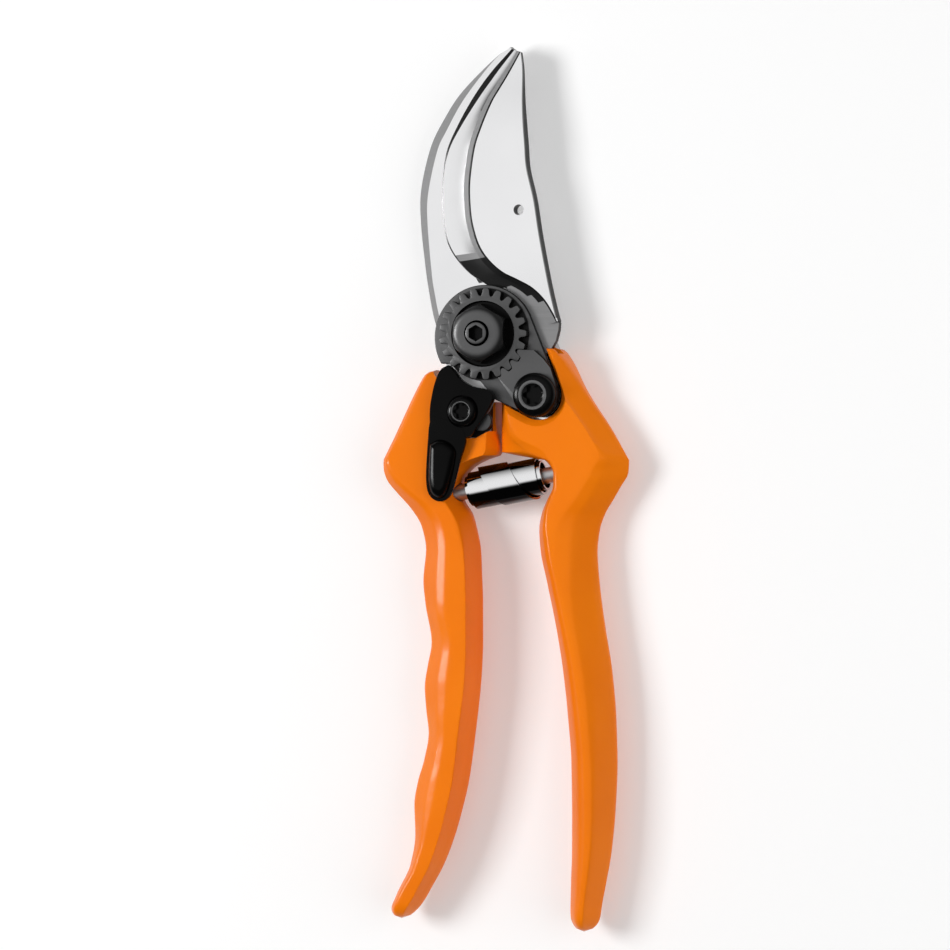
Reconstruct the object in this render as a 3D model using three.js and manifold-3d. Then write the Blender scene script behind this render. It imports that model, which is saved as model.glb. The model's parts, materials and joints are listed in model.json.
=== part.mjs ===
// Bypass pruning shears, closed and locked, lying on their back. All sizes are in millimetres.
// X points to the palm handle's side, Y to the blade tips and Z up through the pivot.
// The origin is on the pivot axis, at the flat back face of the pivot bolt's head.
// The palm handle carries the hooked counter-blade; the finger handle carries the cutting blade.
import * as THREE from 'three';
import { mergeVertices } from 'three/addons/utils/BufferGeometryUtils.js';
import Module from 'manifold-3d';

const wasm = await Module();
wasm.setup();

// ---------------------------------------------------------------- driving dimensions
const gap = 0.3; // clearance kept between pieces that touch on the real tool
const coatThickness = 1.4; // orange coating round each forged handle

// Heights through the pivot, from the bolt head at the back to the nut at the front.
const level = {
  headBottom: 0.6,
  headTop: 4.2,
  counterTop: 8.4,
  bladeBottom: 8.7,
  rootTop: 10.9,
  bladeTop: 12,
  plateBottom: 11.3,
  plateTop: 12.7,
  toothBottom: 13,
  toothTop: 14.8,
  nutTop: 19.7,
  boltTop: 20.4,
};

const boltRadius = 4;
const boltHeadRadius = 8;
const boltHeadHeight = 2.4;
const threadRadius = 2.7;

const segmentScrew = new THREE.Vector2(13.5, -15);
const segmentScrewRadius = 2.4;
const plateRadius = 12.6;
const plateArmRadius = 5.4;

const toothCount = 21;
const toothPitch = (2 * Math.PI) / toothCount;
const toothTipRadius = 10.9;
const toothRootRadius = 9.3;

const catchScrew = new THREE.Vector2(-5, -18.9);
const catchScrewRadius = 1.6;
const leverBottom = 13;
const leverTop = 15.4;
const tabBottom = 14.4;
const tabTop = 17;

const fingerArcRadius = 16.6; // hollow end of the finger handle, round the pivot
const sweepRadius = 19.6; // pocket in the palm handle that the blade's heel sweeps through

const springCentre = new THREE.Vector3(3.45, -36.6, 8.5);
const springTilt = THREE.MathUtils.degToRad(10.5);
const springTurns = 2.6; // turns in each half of the double volute
const springRadius = 5;
const springRadiusStep = 0.8; // inward step of the ribbon for each turn
const springTurnStep = 1.6; // axial step for each turn
const springRibbon = { width: 6, thickness: 0.5 };
const pegRadius = 2;

// ---------------------------------------------------------------- materials
const metal = (color, roughness) => new THREE.MeshStandardMaterial({ color, roughness, metalness: 1 });
const coated = (color, roughness) => new THREE.MeshStandardMaterial({ color, roughness, metalness: 0 });
const materials = {
  coating: () => coated(0xee7a12, 0.3),
  aluminium: () => metal(0xb4b7ba, 0.45),
  blade: () => metal(0xe2e4e6, 0.25),
  darkSteel: () => metal(0x5a5b5d, 0.45),
  blackSteel: () => metal(0x1c1c1e, 0.35),
  blackPlastic: () => coated(0x0c0c0d, 0.25),
  chrome: () => metal(0xd8dadc, 0.1),
  rubber: () => coated(0x1a1a1a, 0.8),
};

// ---------------------------------------------------------------- solid helpers
const toVectors = (pairs) => pairs.map(([x, y]) => new THREE.Vector2(x, y));
const spline = (pairs) => new THREE.SplineCurve(toVectors(pairs));
const polygon = (pairs) => new THREE.Shape(toVectors(pairs));

function toSolid(geometry) {
  geometry.deleteAttribute('normal');
  geometry.deleteAttribute('uv');
  const merged = mergeVertices(geometry);
  const vertProperties = new Float32Array(merged.attributes.position.array);
  const triVerts = new Uint32Array(merged.index.array);
  return new wasm.Manifold(new wasm.Mesh({ numProp: 3, vertProperties, triVerts }));
}

function toGeometry(solid) {
  const mesh = solid.getMesh();
  const geometry = new THREE.BufferGeometry();
  geometry.setAttribute('position', new THREE.BufferAttribute(mesh.vertProperties, 3));
  geometry.setIndex(new THREE.BufferAttribute(mesh.triVerts, 1));
  geometry.computeVertexNormals();
  return geometry;
}

function prism(shape, bottom, top, curveSegments = 16) {
  const options = { depth: top - bottom, bevelEnabled: false, curveSegments };
  return toSolid(new THREE.ExtrudeGeometry(shape, options).translate(0, 0, bottom));
}

function disc(centre, radius, bottom, top, sides = 32) {
  const cylinder = new THREE.CylinderGeometry(radius, radius, top - bottom, sides);
  return toSolid(cylinder.rotateX(Math.PI / 2).translate(centre.x, centre.y, (bottom + top) / 2));
}

// A body turned about Z from [radius, height] pairs that start and end on the axis.
function turned(pairs, sides = 32) {
  return toSolid(new THREE.LatheGeometry(toVectors(pairs), sides).rotateX(Math.PI / 2));
}

// Two circles joined by their outer tangents: radius R round the pivot, r round the segment screw.
function teardrop(pivotCircle, screwCircle) {
  const towards = segmentScrew.angle();
  const spread = Math.acos((pivotCircle - screwCircle) / segmentScrew.length());
  const shape = new THREE.Shape();
  shape.absarc(0, 0, pivotCircle, towards + spread, towards - spread + 2 * Math.PI, false);
  shape.absarc(segmentScrew.x, segmentScrew.y, screwCircle, towards - spread, towards + spread, false);
  return shape;
}

// A six-lobed socket, cut into a screw head.
function socket(radius, bottom, top) {
  const lobes = 6;
  const steps = 36;
  const outline = [];
  for (let i = 0; i < steps; i++) {
    const angle = (i / steps) * 2 * Math.PI;
    const reach = radius * (1 + 0.13 * Math.cos(lobes * angle));
    outline.push([reach * Math.cos(angle), reach * Math.sin(angle)]);
  }
  return prism(polygon(outline), bottom, top);
}

// A box bent so that its length follows guide lines and its width runs from one line to the next.
// Each line is { curve, top }; the underside is flat. The lines run from tip to root.
function bladeBody(lines, bottom, steps) {
  const box = new THREE.BoxGeometry(1, 1, 1, steps, lines.length - 1, 1);
  const position = box.attributes.position;
  for (let i = 0; i < position.count; i++) {
    const along = position.getX(i) + 0.5;
    const line = lines[Math.round((position.getY(i) + 0.5) * (lines.length - 1))];
    const point = line.curve.getPointAt(along);
    position.setXYZ(i, point.x, point.y, position.getZ(i) > 0 ? line.top : bottom);
  }
  return toSolid(box);
}

// A handle lofted through stations [y, left, right, back, front, squareness], top end first.
// Each section is a superellipse, so a high squareness gives a flat-faced section.
function handleLoft(stations, inset, sides = 20) {
  const rings = stations.length - 1;
  const tube = new THREE.CylinderGeometry(1, 1, 1, sides, rings);
  const position = tube.attributes.position;
  for (let i = 0; i < position.count; i++) {
    const ring = Math.round((0.5 - position.getY(i)) * rings);
    const [y, left, right, back, front, squareness] = stations[ring];
    const bend = (value) => Math.sign(value) * Math.abs(value) ** (2 / squareness);
    const halfWidth = (right - left) / 2 - inset;
    const halfHeight = (front - back) / 2 - inset;
    let shift = 0;
    if (ring === 0) shift = -inset;
    if (ring === rings) shift = inset;
    position.setXYZ(
      i,
      (left + right) / 2 + halfWidth * bend(position.getX(i)),
      y + shift,
      (back + front) / 2 + halfHeight * bend(position.getZ(i)),
    );
  }
  return toSolid(tube);
}

const parts = new THREE.Group();

function add(name, solid, material) {
  const mesh = new THREE.Mesh(toGeometry(solid), material());
  mesh.name = name;
  parts.add(mesh);
  return mesh;
}

const pivot = new THREE.Vector2(0, 0);
const below = -5;
const above = 30;

// ---------------------------------------------------------------- handle outlines
// y, left edge, right edge, back, front, squareness
const palmStations = [
  [-3.1, 16.2, 18.6, 3, 9.6, 3],
  [-4.3, 15.2, 20.2, 1.2, 11.4, 4],
  [-7.2, 13.4, 22.4, 0.5, 12.8, 5],
  [-12, 8, 25.2, 0.4, 13.4, 5],
  [-16, 2.9, 27.6, 0.4, 13.8, 5],
  [-23, 2.9, 31.8, 0.4, 14, 5],
  [-29.2, 2.9, 35.4, 0.4, 14, 5],
  [-30, 12.8, 35.8, 0.4, 14, 5],
  [-31.7, 15, 36, 0.4, 14, 5],
  [-34, 16, 35.4, 0.4, 14, 5],
  [-37, 16, 33.4, 0.4, 14.1, 4.6],
  [-40.3, 15.2, 31, 0.5, 14.3, 4.2],
  [-43.7, 13.6, 28.9, 0.6, 14.6, 3.8],
  [-47.4, 13.2, 27.6, 0.8, 15, 3.4],
  [-52.8, 13.6, 27, 1, 15.4, 3],
  [-60.1, 15.2, 27.5, 1, 15.8, 2.8],
  [-71.2, 17.6, 29, 1, 16, 2.8],
  [-82.2, 19.4, 30.8, 1, 16, 2.8],
  [-93.2, 20.6, 31.8, 1, 16, 2.8],
  [-104.2, 21.4, 32.1, 1, 15.8, 2.8],
  [-115.3, 21.5, 31.6, 1.1, 15.5, 2.8],
  [-126.3, 21.4, 30.5, 1.4, 15, 2.8],
  [-133.6, 21.1, 29.2, 1.9, 14.5, 2.6],
  [-139, 21, 28, 2.5, 13.9, 2.5],
  [-143, 21.6, 27, 3.4, 13, 2.4],
  [-145.4, 22.6, 26, 5, 11.5, 2.2],
];

const fingerStations = [
  [-8.4, -15.9, -13, 2, 10.6, 3],
  [-10.2, -17.2, -2, 0.8, 12, 4],
  [-14, -19, 2.3, 0.4, 12.4, 5],
  [-20, -21.9, 2.3, 0.4, 12.6, 5],
  [-25, -24.3, 2.3, 0.4, 12.7, 5],
  [-29.2, -26.3, 2.3, 0.4, 13.2, 5],
  [-31, -27, -2.5, 0.4, 13.5, 5],
  [-33, -27, -5.4, 0.4, 13.7, 5],
  [-35.4, -26.4, -7.2, 0.4, 13.8, 5],
  [-38.6, -24, -8, 0.4, 13.9, 4.6],
  [-41, -21.8, -7.2, 0.5, 14, 4.2],
  [-43.7, -19.6, -5.4, 0.6, 14.1, 3.8],
  [-47, -17.6, -4.2, 0.8, 14.5, 3.4],
  [-52.8, -16.3, -3.4, 1, 15.2, 3],
  [-60.1, -16.8, -3, 1, 15.8, 2.8],
  [-66, -16.2, -2.8, 1, 16, 2.8],
  [-75.5, -14.6, -2.8, 1, 16, 2.8],
  [-81, -15.6, -3, 1, 16, 2.8],
  [-86.4, -16.4, -3.4, 1, 16, 2.8],
  [-92, -16, -4, 1, 16, 2.8],
  [-97.6, -15.4, -4.7, 1, 15.9, 2.8],
  [-104.2, -16.6, -5.6, 1, 15.8, 2.8],
  [-110, -18.4, -6.6, 1, 15.6, 2.8],
  [-115.3, -19.3, -7.9, 1.1, 15.4, 2.8],
  [-122.6, -19.1, -10, 1.4, 15, 2.8],
  [-130, -20.4, -12.9, 1.9, 14.5, 2.6],
  [-137.3, -24, -16.9, 2.7, 13.7, 2.5],
  [-141, -25.6, -19.4, 3.6, 12.8, 2.4],
  [-143.4, -25, -21.6, 5, 11.5, 2.2],
];

// A peg that holds one end of the recoil spring; side is 1 at the palm handle, -1 at the finger handle.
function springPeg(side, radius) {
  const length = 9;
  const reach = 10.6 - 4; // how far from the spring's centre the peg's tip is
  const cylinder = new THREE.CylinderGeometry(radius, radius, length, 16);
  cylinder.rotateZ(Math.PI / 2).translate(side * (reach + length / 2), 0, 0);
  cylinder.rotateZ(springTilt).translate(springCentre.x, springCentre.y, springCentre.z);
  return toSolid(cylinder);
}

// ---------------------------------------------------------------- palm side
const neckShape = teardrop(12.9, 6.2);
const neckPocket = prism(teardrop(12.9 + gap, 6.2 + gap), below, level.bladeBottom);
const headPocket = prism(teardrop(12.9 + gap, 6.2 + gap), level.headTop, above);
const rivetCentres = toVectors([[13.2, -7.6], [6, -14.2]]);
const rivetRadius = 1.6;

function heelSweep() {
  const wedge = new THREE.Shape();
  wedge.moveTo(0, 0);
  wedge.absarc(0, 0, sweepRadius, THREE.MathUtils.degToRad(-54), THREE.MathUtils.degToRad(30), false);
  const floor = level.counterTop - gap;
  return disc(pivot, 16.9, floor, above, 48).add(prism(wedge, floor, above, 12));
}

// Where the plate's arm, the segment and its screw lie over the palm handle.
const armRecess = prism(teardrop(plateRadius + 0.6, plateArmRadius + 0.6), level.plateBottom - gap, above);
const bumperBox = { left: 2.7, right: 5.4, low: -26, high: -19.5, bottom: 5, top: 11.4 };

function bumperSolid(margin) {
  const { left, right, low, high, bottom, top } = bumperBox;
  const shape = polygon([
    [left, low - margin],
    [right + margin, low - margin],
    [right + margin, high + margin],
    [left, high + margin],
  ]);
  return prism(shape, bottom - margin, top + margin);
}

function palmCore() {
  const neck = prism(neckShape, level.headBottom, level.headTop);
  let core = handleLoft(palmStations.slice(3), coatThickness + gap);
  core = core.subtract(heelSweep()).subtract(headPocket).subtract(armRecess).add(neck);
  core = core.subtract(bumperSolid(gap)).add(springPeg(1, pegRadius));
  core = core.subtract(disc(pivot, boltHeadRadius + gap, below, boltHeadHeight + gap));
  core = core.subtract(disc(pivot, boltRadius + gap, below, above));
  core = core.subtract(disc(segmentScrew, segmentScrewRadius + gap, 1.9, above, 20));
  for (const centre of rivetCentres) core = core.subtract(disc(centre, rivetRadius + gap, below, above, 16));
  return core;
}

function palmSleeve() {
  const hollow = handleLoft(palmStations.slice(2), coatThickness);
  return handleLoft(palmStations, 0)
    .subtract(hollow)
    .subtract(neckPocket)
    .subtract(heelSweep())
    .subtract(armRecess)
    .subtract(bumperSolid(gap))
    .subtract(springPeg(1, pegRadius + gap));
}

function counterBlade() {
  const outerEdge = spline([
    [4.4, 70.5], [-0.2, 67.6], [-8.4, 59.8], [-12.9, 53.4], [-16.5, 46.4], [-19, 36.1],
    [-19.1, 28], [-18, 17.6], [-17, 10.9], [-15.5, 3.6], [-13.4, -2],
  ]);
  const chamferEdge = spline([
    [4.9, 70.1], [0.7, 66.9], [-6.7, 58], [-11.4, 50.1], [-13.8, 45.1], [-16.1, 35],
    [-16.3, 27.6], [-15.2, 15.1], [-14.4, 10], [-13.3, 4.7], [-11.6, -1],
  ]);
  const biteEdge = spline([
    [5.4, 69.8], [2.2, 62.5], [-3.4, 54], [-7, 45], [-8.4, 36], [-8, 28], [-6, 20], [-2, 12], [4, 4], [6, 0],
  ]);
  const bottom = level.headTop + gap;
  const lines = [
    { curve: outerEdge, top: 6.4 },
    { curve: chamferEdge, top: level.counterTop },
    { curve: biteEdge, top: level.counterTop },
  ];
  let blade = bladeBody(lines, bottom, 28).add(prism(neckShape, bottom, level.counterTop, 24));
  blade = blade.subtract(disc(pivot, boltRadius + gap, below, above));
  blade = blade.subtract(disc(segmentScrew, segmentScrewRadius + gap, below, above, 20));
  for (const centre of rivetCentres) blade = blade.subtract(disc(centre, rivetRadius + gap, below, above, 16));
  return blade;
}

function pivotBolt() {
  const body = turned([
    [0, 0], [7.5, 0], [boltHeadRadius, 0.5], [boltHeadRadius, boltHeadHeight], [boltRadius, boltHeadHeight],
    [boltRadius, 12.9], [threadRadius, 12.9], [threadRadius, level.boltTop - 0.3],
    [threadRadius - 0.3, level.boltTop], [0, level.boltTop],
  ]);
  return body.subtract(disc(pivot, 2, level.boltTop - 2.6, above, 6));
}

function nutTeeth() {
  const outline = [];
  for (let i = 0; i < toothCount; i++) {
    const centre = i * toothPitch;
    for (const [offset, radius] of [[-0.25, toothRootRadius], [-0.12, toothTipRadius],
      [0.12, toothTipRadius], [0.25, toothRootRadius]]) {
      const angle = centre + offset * toothPitch;
      outline.push([radius * Math.cos(angle), radius * Math.sin(angle)]);
    }
  }
  return polygon(outline);
}

function adjustingNut() {
  const dishRadius = 8.1;
  const dishFloor = 13.9;
  const hexRadius = 7.4;
  const hexagon = toSolid(
    new THREE.CylinderGeometry(hexRadius, hexRadius, level.nutTop - dishFloor + 0.2, 6)
      .rotateX(Math.PI / 2)
      .translate(0, 0, (level.nutTop + dishFloor - 0.2) / 2),
  );
  const dome = turned([[0, 13], [7.6, 13], [7.6, 16.6], [7, 18.4], [5.7, level.nutTop], [0, level.nutTop]]);
  return prism(nutTeeth(), level.toothBottom, level.toothTop)
    .subtract(disc(pivot, dishRadius, dishFloor, above, 40))
    .add(hexagon.intersect(dome))
    .subtract(disc(pivot, threadRadius + gap, below, above, 24));
}

function coverPlate() {
  const notch = polygon([
    [-16, -7.2], [-8.4, -7.2], [-6.6, -8.8], [-4.4, -10.1], [-2, -11], [0.6, -13.8], [0.6, -18], [-16, -18],
  ]);
  return prism(teardrop(plateRadius, plateArmRadius), level.plateBottom, level.plateTop, 24)
    .subtract(prism(notch, below, above))
    .subtract(disc(pivot, boltRadius + gap, below, above))
    .subtract(disc(segmentScrew, segmentScrewRadius + gap, below, above, 20));
}

// The segment's teeth stand in the nut's tooth gaps, so the nut can't turn by itself.
function toothedSegment() {
  const valleyRadius = 11.3;
  const crestRadius = 9.75;
  const outline = [[8.3, -17.2], [13.5, -20.4], [18.4, -17], [18.6, -12.6], [13.6, -5.2], [11.4, -3.6]];
  const firstGap = -1.5;
  for (let i = 0; i < 3; i++) {
    const centre = (firstGap - i) * toothPitch;
    for (const [offset, radius] of [[0.27, valleyRadius], [0.12, crestRadius],
      [-0.12, crestRadius], [-0.27, valleyRadius]]) {
      const angle = centre + offset * toothPitch;
      outline.push([radius * Math.cos(angle), radius * Math.sin(angle)]);
    }
  }
  const round = disc(segmentScrew, plateArmRadius, level.toothBottom, level.toothTop, 28);
  return prism(polygon(outline), level.toothBottom, level.toothTop)
    .intersect(prism(teardrop(plateRadius + 1.2, plateArmRadius), below, above))
    .add(round)
    .subtract(disc(segmentScrew, segmentScrewRadius + gap, below, above, 20));
}

function buttonScrew(headRadius, headHeight, shankRadius, shankLength, socketRadius) {
  return turned([
    [0, -shankLength], [shankRadius, -shankLength], [shankRadius, 0], [headRadius, 0],
    [headRadius, 0.45 * headHeight], [0.88 * headRadius, 0.85 * headHeight],
    [0.66 * headRadius, headHeight], [0, headHeight],
  ]).subtract(socket(socketRadius, 0.35 * headHeight, above));
}

const segmentScrewSeat = level.toothTop + gap;
const spacerBottom = level.counterTop + gap;
const spacerTop = level.plateBottom - gap;
const spacer = disc(segmentScrew, 3.6, spacerBottom, spacerTop, 24)
  .subtract(disc(segmentScrew, segmentScrewRadius + gap, below, above, 20));

add('palm_handle_core', palmCore(), materials.aluminium);
add('palm_handle_sleeve', palmSleeve(), materials.coating);
add('counter_blade', counterBlade(), materials.blade);
rivetCentres.forEach((centre, i) => {
  const rivet = disc(centre, rivetRadius, level.headBottom + 0.2, level.counterTop - 0.1, 16);
  add(`counter_blade_rivet_${i + 1}`, rivet, materials.blade);
});
add('pivot_bolt', pivotBolt(), materials.blackSteel);
add('adjusting_nut', adjustingNut(), materials.darkSteel);
add('cover_plate', coverPlate(), materials.darkSteel);
add('toothed_segment', toothedSegment(), materials.darkSteel);
add('segment_spacer', spacer, materials.darkSteel);
add('segment_screw', buttonScrew(5.2, 2.5, segmentScrewRadius, 12.8, 2.2), materials.blackSteel)
  .position.set(segmentScrew.x, segmentScrew.y, segmentScrewSeat);
add('stop_bumper', bumperSolid(0), materials.rubber);

// ---------------------------------------------------------------- finger side
const pivotWell = disc(pivot, fingerArcRadius, below, above, 64);
const tangPocket = prism(
  polygon([[-13.1, -2], [-13.1, -25.4], [-2.5, -25.4], [0.9, -23.5], [6, -23.5], [6, -2]]),
  level.counterTop,
  above,
);
const pinCentres = toVectors([[-10.4, -21.4], [-1.4, -21]]);
const pinRadius = 1.3;

function fingerCore() {
  let core = handleLoft(fingerStations.slice(1), coatThickness + gap);
  core = core.subtract(pivotWell).subtract(tangPocket).add(springPeg(-1, pegRadius));
  core = core.subtract(disc(catchScrew, catchScrewRadius + gap, 2.7, above, 16));
  for (const centre of pinCentres) core = core.subtract(disc(centre, pinRadius + gap, 3.7, above, 16));
  return core;
}

function fingerSleeve() {
  return handleLoft(fingerStations, 0)
    .subtract(handleLoft(fingerStations.slice(1), coatThickness))
    .subtract(pivotWell)
    .subtract(tangPocket)
    .subtract(springPeg(-1, pegRadius + gap));
}

function cuttingBlade() {
  const cuttingEdge = spline([
    [5.5, 69.7], [0, 63.9], [-4.5, 57.9], [-8.6, 50.9], [-11.2, 45], [-12.3, 38], [-12.3, 30.1],
    [-10.8, 22.1], [-6.3, 15.9], [-0.8, 12.1], [5, 9], [10, 5], [13.2, 1.6],
  ]);
  const bevelTop = spline([
    [7.9, 68.9], [4.6, 62.9], [2.6, 59.5], [0.9, 56.4], [-1.6, 50.1], [-3.2, 45.1], [-4.3, 37],
    [-4.1, 30.1], [-3.3, 25.6], [-1.8, 21.4], [0.6, 18], [4, 15.1], [7.9, 13.2], [11.6, 11.2],
    [14.7, 8.3], [16.9, 4.9], [18, 2.8],
  ]);
  const hollowLine = spline([
    [6.6, 69.2], [2, 63.3], [-1.2, 58.2], [-5.2, 50.4], [-7.2, 45], [-8.2, 37.5], [-8.2, 30.1],
    [-7.2, 23.6], [-3, 17.5], [2.2, 13.4], [8, 11], [12.4, 7.4], [15.4, 2.6],
  ]);
  const spine = spline([
    [8.3, 68.7], [8.8, 64.3], [9.1, 56.5], [9.9, 46.4], [10.4, 40.3], [12.2, 32.6], [13.6, 23.9],
    [15.8, 12.6], [17.4, 5.8], [18.2, 3],
  ]);
  const lines = [
    { curve: cuttingEdge, top: level.bladeBottom + 0.35 },
    { curve: hollowLine, top: level.bladeBottom + 1.3 },
    { curve: bevelTop, top: level.bladeTop },
    { curve: spine, top: level.bladeTop },
  ];
  const rootAndTang = polygon([
    [18.2, 3.2], [18.1, 1], [17.4, -1.8], [15.9, -4.2], [14, -5.6], [13.2, -8], [10.6, -10.4], [6.8, -12.2],
    [2.6, -13.6], [2.2, -15.4], [2, -23.2], [0.8, -23.2], [-2.6, -25.1], [-12.8, -25.1], [-12.8, -11],
    [-10.4, -8.6], [-11.6, -3], [-11.4, 4], [-8, 9.4], [-2, 12.2], [5, 12.4], [12, 9],
  ]);
  let blade = bladeBody(lines, level.bladeBottom, 36);
  blade = blade.add(prism(rootAndTang, level.bladeBottom, level.rootTop));
  blade = blade.subtract(disc(pivot, boltRadius + gap, below, above));
  blade = blade.subtract(disc(catchScrew, catchScrewRadius + gap, below, above, 16));
  blade = blade.subtract(disc(new THREE.Vector2(8.3, 30.2), 1.3, below, above, 16));
  for (const centre of pinCentres) blade = blade.subtract(disc(centre, pinRadius + gap, below, above, 16));
  return blade;
}

// Double volute: one wide ribbon, widest coil in the middle, wound inwards towards both ends.
function recoilSpring() {
  const stepsPerTurn = 18;
  const steps = Math.round(2 * springTurns * stepsPerTurn);
  const ribbon = new THREE.BoxGeometry(1, 1, 1, steps, 1, 1);
  const position = ribbon.attributes.position;
  for (let i = 0; i < position.count; i++) {
    const turn = 2 * springTurns * position.getX(i);
    const radius = springRadius - springRadiusStep * Math.abs(turn) + springRibbon.thickness * position.getY(i);
    const crossOver = THREE.MathUtils.smoothstep(turn, -0.5, 0.5) - 0.5;
    const centre = crossOver * (springRibbon.width + gap) + turn * springTurnStep;
    const angle = -turn * 2 * Math.PI;
    position.setXYZ(
      i,
      centre + springRibbon.width * position.getZ(i),
      radius * Math.cos(angle),
      radius * Math.sin(angle),
    );
  }
  return toSolid(ribbon);
}

const springNode = add('recoil_spring', recoilSpring(), materials.chrome);
springNode.position.copy(springCentre);
springNode.rotation.z = springTilt;

add('finger_handle_core', fingerCore(), materials.aluminium);
add('finger_handle_sleeve', fingerSleeve(), materials.coating);
add('cutting_blade', cuttingBlade(), materials.blade);
pinCentres.forEach((centre, i) => {
  add(`blade_pin_${i + 1}`, disc(centre, pinRadius, 4, level.rootTop, 16), materials.blade);
});
add('catch_screw', buttonScrew(3.7, 1.8, catchScrewRadius, 12.1, 1.7), materials.blackSteel)
  .position.set(catchScrew.x, catchScrew.y, leverTop - 0.3);
const washer = disc(catchScrew, 3.4, 14.3, 14.8, 24).subtract(disc(catchScrew, 1.9, below, above, 24));
add('catch_washer', washer, materials.blade);

// ---------------------------------------------------------------- thumb catch
// The lever's top left corner stands under the plate's step, which holds the handles shut.
function thumbCatch() {
  const upper = polygon([
    [-9.4, -8.3], [-11.4, -9.6], [-12.6, -12.1], [-13.4, -16.8], [-13.7, -22], [-13.8, -25], [-3.2, -25.2],
    [-1.2, -22.7], [1.4, -18.8], [2.6, -15.8], [2, -14.2], [1, -13.4], [-2.6, -12.8], [-5.6, -11.4],
    [-7.8, -9.6],
  ]);
  const tab = new THREE.Shape(
    spline([
      [-13.8, -24.5], [-14.3, -29.7], [-14.4, -35.5], [-13.6, -39.4], [-10.8, -40.9], [-8.2, -39.4],
      [-6.9, -35.5], [-5.6, -30.6], [-3.4, -25],
    ]).getPoints(24),
  );
  const ridge = new THREE.Shape(
    spline([
      [-13.3, -26.4], [-13.6, -31], [-13.6, -36], [-12.6, -39], [-10.8, -39.9], [-9, -38.8],
      [-7.9, -35], [-7, -30.6], [-7.2, -27], [-10, -25.6], [-13.3, -26.4],
    ]).getPoints(30),
  );
  return prism(upper, leverBottom, leverTop)
    .add(prism(tab, tabBottom, leverTop + 0.2))
    .add(prism(ridge, tabBottom, tabTop))
    .subtract(disc(catchScrew, 4, 14, above, 28))
    .subtract(disc(catchScrew, catchScrewRadius + gap, below, above, 16));
}

function latchPlate() {
  return disc(catchScrew, 5.4, level.rootTop + gap, leverBottom - gap, 28)
    .add(disc(new THREE.Vector2(-1, -21.2), 2.4, level.rootTop + gap, leverBottom - gap, 20))
    .subtract(disc(catchScrew, catchScrewRadius + gap, below, above, 16));
}

add('thumb_catch', thumbCatch(), materials.blackPlastic);
add('latch_plate', latchPlate(), materials.darkSteel);

export default parts;
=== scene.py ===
import json
import math

import bmesh
import bpy
from mathutils import Matrix, Vector


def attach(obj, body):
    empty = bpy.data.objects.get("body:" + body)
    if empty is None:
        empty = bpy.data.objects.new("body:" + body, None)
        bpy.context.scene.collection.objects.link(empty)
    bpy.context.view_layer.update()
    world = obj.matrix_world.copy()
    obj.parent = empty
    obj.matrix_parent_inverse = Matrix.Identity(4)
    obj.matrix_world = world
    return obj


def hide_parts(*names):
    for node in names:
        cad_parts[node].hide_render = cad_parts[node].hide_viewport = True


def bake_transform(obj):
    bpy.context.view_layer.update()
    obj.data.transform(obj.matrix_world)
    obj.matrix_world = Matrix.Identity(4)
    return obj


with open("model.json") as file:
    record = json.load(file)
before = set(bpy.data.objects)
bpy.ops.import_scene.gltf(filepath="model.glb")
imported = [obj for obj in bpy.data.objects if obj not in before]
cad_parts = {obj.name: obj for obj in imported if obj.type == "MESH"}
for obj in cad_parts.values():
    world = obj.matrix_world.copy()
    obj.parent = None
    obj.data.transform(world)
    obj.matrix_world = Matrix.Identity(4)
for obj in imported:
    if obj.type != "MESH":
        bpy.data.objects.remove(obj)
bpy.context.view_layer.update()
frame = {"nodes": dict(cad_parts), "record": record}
mm = 0.001  # every size below is in millimetres

# heights through the pivot, as the frame has them
plane = {
    "headTop": 4.2,
    "counterBottom": 4.5,
    "counterTop": 8.4,
    "bladeBottom": 8.7,
    "rootTop": 10.9,
    "bladeTop": 12.0,
    "plateBottom": 11.3,
    "plateTop": 12.7,
    "toothBottom": 13.0,
    "toothTop": 14.8,
    "nutTop": 19.7,
    "boltTop": 20.4,
}
pivotAt = (0, 0)
segmentScrewAt = Vector((13.5, -15.0))
catchScrewAt = Vector((-5.0, -18.9))
clearance = 0.3
holeRadius = {"bolt": 4.3, "boltHead": 8.3, "screw": 2.7, "catch": 1.9, "rivet": 1.9, "pin": 1.6, "oil": 1.3}
rivetsAt = [(13.2, -7.6), (6, -14.2)]
pinsAt = [(-10.4, -21.4), (-1.4, -21)]
farBelow, farAbove = -5, 40  # cutters reach from one to the other


# lines and rows


def bend(p0, p1, p2, p3, t):
    # a smooth curve from p1 to p2
    linear = p2 - p0
    square = 2 * p0 - 5 * p1 + 4 * p2 - p3
    cubic = 3 * p1 - p0 - 3 * p2 + p3
    return 0.5 * (2 * p1 + linear * t + square * t**2 + cubic * t**3)


def alongLine(points, count):
    # evenly spaced points on a smooth line through a few chosen ones
    knots = [Vector(p) for p in points]
    knots = [2 * knots[0] - knots[1]] + knots + [2 * knots[-1] - knots[-2]]
    fine = []
    for i in range(1, len(knots) - 2):
        fine += [bend(knots[i - 1], knots[i], knots[i + 1], knots[i + 2], k / 12) for k in range(12)]
    fine.append(knots[-2])
    reached = [0.0]
    for a, b in zip(fine, fine[1:]):
        reached.append(reached[-1] + (b - a).length)
    line = []
    step = 0
    for k in range(count):
        target = reached[-1] * k / (count - 1)
        while step < len(fine) - 2 and reached[step + 1] < target:
            step += 1
        part = (target - reached[step]) / max(reached[step + 1] - reached[step], 1e-9)
        line.append(fine[step].lerp(fine[step + 1], min(max(part, 0), 1)))
    return line


def rowSlope(rows, k, column):
    # slope at a row that never overshoots its neighbours
    if k == 0 or k == len(rows) - 1:
        return 0.0
    before = (rows[k][column] - rows[k - 1][column]) / (rows[k - 1][0] - rows[k][0])
    after = (rows[k + 1][column] - rows[k][column]) / (rows[k][0] - rows[k + 1][0])
    return 2 * before * after / (before + after) if before * after > 0 else 0.0


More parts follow.
